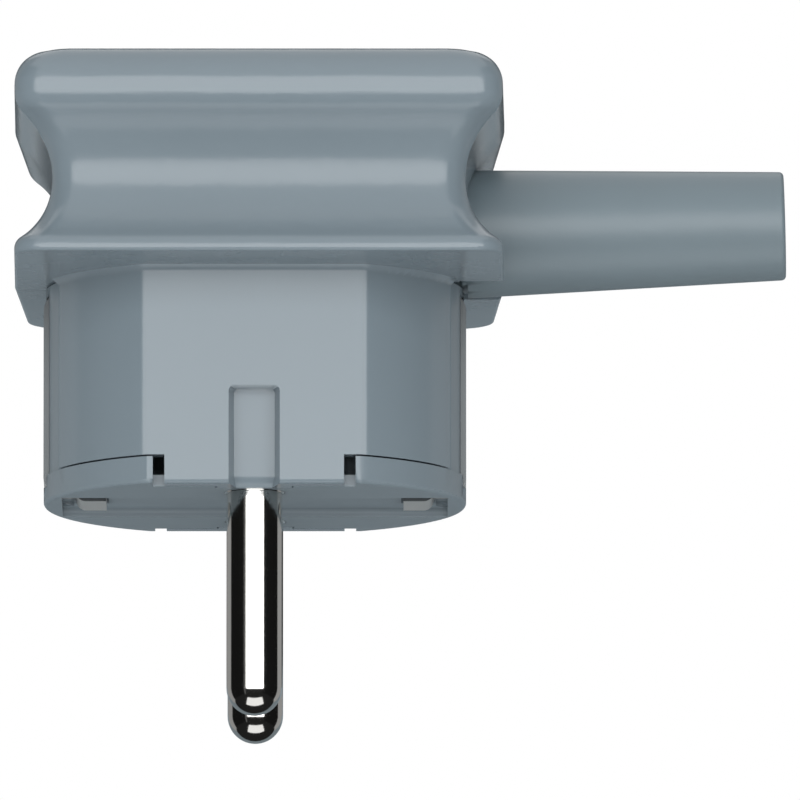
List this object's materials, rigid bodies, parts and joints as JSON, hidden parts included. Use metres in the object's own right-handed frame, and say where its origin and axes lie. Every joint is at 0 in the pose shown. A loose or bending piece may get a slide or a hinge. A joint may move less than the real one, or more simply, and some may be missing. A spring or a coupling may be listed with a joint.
{
  "type": "type f plug",
  "caption": "Angled mains plug with a waisted box grip, round insert with side earth contacts, round pins and a tapered bend sleeve out of one side.",
  "frame": {"origin": "centre of the flat face that meets the socket's floor, on the plug's axis", "axes": "+Z from the face to the grip, the pins pointing to -Z; +X towards the bend sleeve; the pins lie along Y, the screw side is +Y"},
  "size_m": [0.0665, 0.0494, 0.056],
  "materials": {
    "shell_plastic": "smooth glossy moulding, blue-grey",
    "carrier_plastic": "smooth satin-gloss moulding, blue-grey",
    "sleeve_plastic": "soft satin moulding, blue-grey",
    "clamp_plastic": "plain moulded, grey",
    "pin_nickel": "bright nickel plate",
    "strap_nickel": "nickel-plated spring strip",
    "brass": "plain turned and milled",
    "plated_steel": "zinc plated"
  },
  "bodies": {
    "root": {"front_shell": "shell_plastic", "rear_shell": "shell_plastic", "contact_carrier": "carrier_plastic", "line_pin": "pin_nickel", "neutral_pin": "pin_nickel", "line_terminal": "brass", "neutral_terminal": "brass", "line_terminal_screw": "plated_steel", "neutral_terminal_screw": "plated_steel", "line_pressure_plate": "plated_steel", "neutral_pressure_plate": "plated_steel", "earth_strap": "strap_nickel", "earth_clamp_washer": "plated_steel", "earth_terminal_screw": "plated_steel", "cord_clamp": "clamp_plastic", "cord_clamp_screw_front": "plated_steel", "cord_clamp_screw_rear": "plated_steel", "bend_sleeve": "sleeve_plastic", "shell_screw_left": "plated_steel", "shell_screw_right": "plated_steel"}
  },
  "joints": []
}
